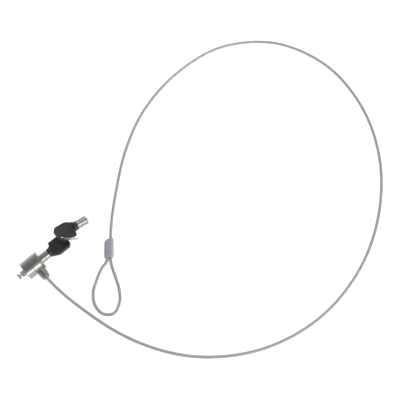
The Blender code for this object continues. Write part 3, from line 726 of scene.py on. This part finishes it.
def bow_outline():
    """A hollowed shoulder, the chamfered end and a sloping shoulder, each corner with its own radius."""
    hollow = [(0, 0.0052, 0.0005), (0.0030, 0.0055, 0.0016), (0.0056, 0.0065, 0.001),
              (0.0067, 0.0082, 0.0008), (0.0073, BOW_HALF, 0.0007)]
    end = [(BOW_LENGTH - 0.0040, BOW_HALF, 0.0010), (BOW_LENGTH, 0.0075, 0.0012)]
    slope = [(0.0104, -BOW_HALF, 0.0008), (0.0072, -0.0096, 0.001), (0.0036, -0.0070, 0.001),
             (0, -0.0052, 0.0005)]
    return plan_fillet(hollow + end + [(x, -y, r) for x, y, r in reversed(end)] + slope, 0.001)


def key_bow(name, matrix, body, node, plastic):
    """Moulded bow: rimmed plate, round neck, ridge, cross groove, sunk panel and hole for the ring."""
    place = matrix @ Matrix.Translation((BARREL_LENGTH, 0, 0))
    half = BOW_THICK / 2
    outline = bow_outline()
    obj = new_piece(name, loft(outline, outline, -half, half), place, plastic)
    round_edges(obj, 0.0003, 3, 50)
    neck = turned(fillet([(0.00004, 0), (0.00004, 0.0055, 0.0004), (0.0032, 0.0055, 0.0012),
                          (0.0057, 0.0042, 0.001), (0.0057, 0)], 0), 64)
    combine(obj, neck, "UNION")
    rim = 0.0017
    wide, end = BOW_HALF - rim, BOW_LENGTH - 0.0090
    floor = half - 0.00055
    for side in (1, -1):
        flare = 0.0005
        base = plan_fillet([(0.0086, -wide), (end, -wide), (end, wide), (0.0086, wide)], 0.0012)
        brim = plan_fillet([(0.0086 - flare, -wide - flare), (end + flare, -wide - flare),
                            (end + flare, wide + flare), (0.0086 - flare, wide + flare)], 0.0014)
        low, high = side * floor, side * (half + 0.0004)
        combine(obj, loft(base, brim, low, high))
        groove = plan_fillet([(0.0093, -0.0043), (0.0117, -0.0043), (0.0117, 0.0043), (0.0093, 0.0043)],
                             0.0008)
        combine(obj, loft(groove, groove, side * (floor - 0.0006), side * (half + 0.001)))
    hole = [(RING_HOLE[0] - y, RING_HOLE[1] + x) for x, y in stadium(RING_HOLE_LONG, RING_HOLE_WIDE)]
    combine(obj, loft(hole, hole, -half - 0.001, half + 0.001))
    combine(obj, box((-0.001, -0.0031, -0.0011), (0.0086, 0.0031, 0.0011)))
    dress(obj, body, "bow_plastic", node, sharp=38)


def split_ring(metal):
    """Two close coils of wire: a helix that makes two turns, with its ends laid against the coils."""
    heading = Matrix.Rotation(RING_HEADING - math.pi / 2, 4, "Z")
    matrix = Matrix.Translation(RING_CENTRE) @ heading @ Matrix.Rotation(RING_LEAN, 4, "Y")
    steps, sides = 168, 14
    bm = bmesh.new()
    rings = []
    start = math.radians(300)
    for i in range(steps + 1):
        part = i / steps
        turn = start + part * 2 * math.radians(356)
        shift = max(-0.5, min(0.5, (part - 0.5) * 6.0)) * 2.08 * WIRE_R
        outward = Vector((0, math.cos(turn), math.sin(turn)))
        sideways = Vector((1, 0, 0))
        centre = Vector((shift, 0, 0)) + outward * RING_R
        rings.append([bm.verts.new(centre + WIRE_R * (math.cos(a) * outward + math.sin(a) * sideways))
                      for a in [2 * math.pi * k / sides for k in range(sides)]])
    close_tube(bm, rings)
    dress(new_piece("split_ring", bm, matrix, metal, 60), "ring", "ring_wire", "key_ring", sharp=60)


# ---------------------------------------------------------------- carried-over CAD nodes

def dress_cad(materials):
    """Give the visible carried-over nodes the material of their slot."""
    for row in frame["record"]["subparts"]:
        node = frame["nodes"][row["node"]]
        mat = materials.get(row["material_slot"])
        if mat and not node.hide_render:
            node.data.materials.clear()
            node.data.materials.append(mat)


def main():
    camera()
    boot_piece = boot()
    cable()
    stage()
    body = turned_metal("body_metal", (0.30, 0.29, 0.275), (0.42, 0.41, 0.39), 0.33)
    gland = turned_metal("gland_metal", (0.27, 0.265, 0.25), (0.38, 0.37, 0.355), 0.36)
    steel = turned_metal("hardened_steel", (0.26, 0.26, 0.265), (0.34, 0.34, 0.345), 0.58)
    barrel = turned_metal("key_metal", (0.30, 0.29, 0.275), (0.42, 0.41, 0.39), 0.33)
    ring = turned_metal("ring_wire", (0.42, 0.42, 0.43), (0.54, 0.54, 0.55), 0.22)
    bows = moulded_plastic("bow_plastic", (0.012, 0.012, 0.014), (0.022, 0.022, 0.026), 0.46)
    head(body, gland)
    nose(steel)
    key_1 = KEYED @ Matrix.Translation((KEY_SEAT, 0, 0))
    key_barrel("first_key_barrel", key_1, "key_1", "key_1_barrel", barrel)
    key_bow("first_key_bow", key_1, "key_1", "key_1_bow", bows)
    key_barrel("second_key_barrel", key_2_matrix(), "key_2", "key_2_barrel", barrel)
    key_bow("second_key_bow", key_2_matrix(), "key_2", "key_2_bow", bows)
    split_ring(ring)
    dress_cad({
        "hardened_steel": turned_metal("dowel_steel", (0.28, 0.27, 0.26), (0.38, 0.37, 0.36), 0.34, False),
        "mechanism_brass": turned_metal("mechanism_brass", (0.52, 0.38, 0.16), (0.72, 0.55, 0.27), 0.32,
                                        False),
        "pin_steel": turned_metal("pin_steel", (0.45, 0.45, 0.46), (0.60, 0.60, 0.61), 0.25, False),
        "crimp_aluminium": turned_metal("crimp_aluminium", (0.55, 0.55, 0.56), (0.72, 0.72, 0.73), 0.38,
                                        False),
        "washer_plastic": moulded_plastic("washer_plastic", (0.15, 0.145, 0.14), (0.20, 0.195, 0.19), 0.5,
                                          own=False),
    })


main()
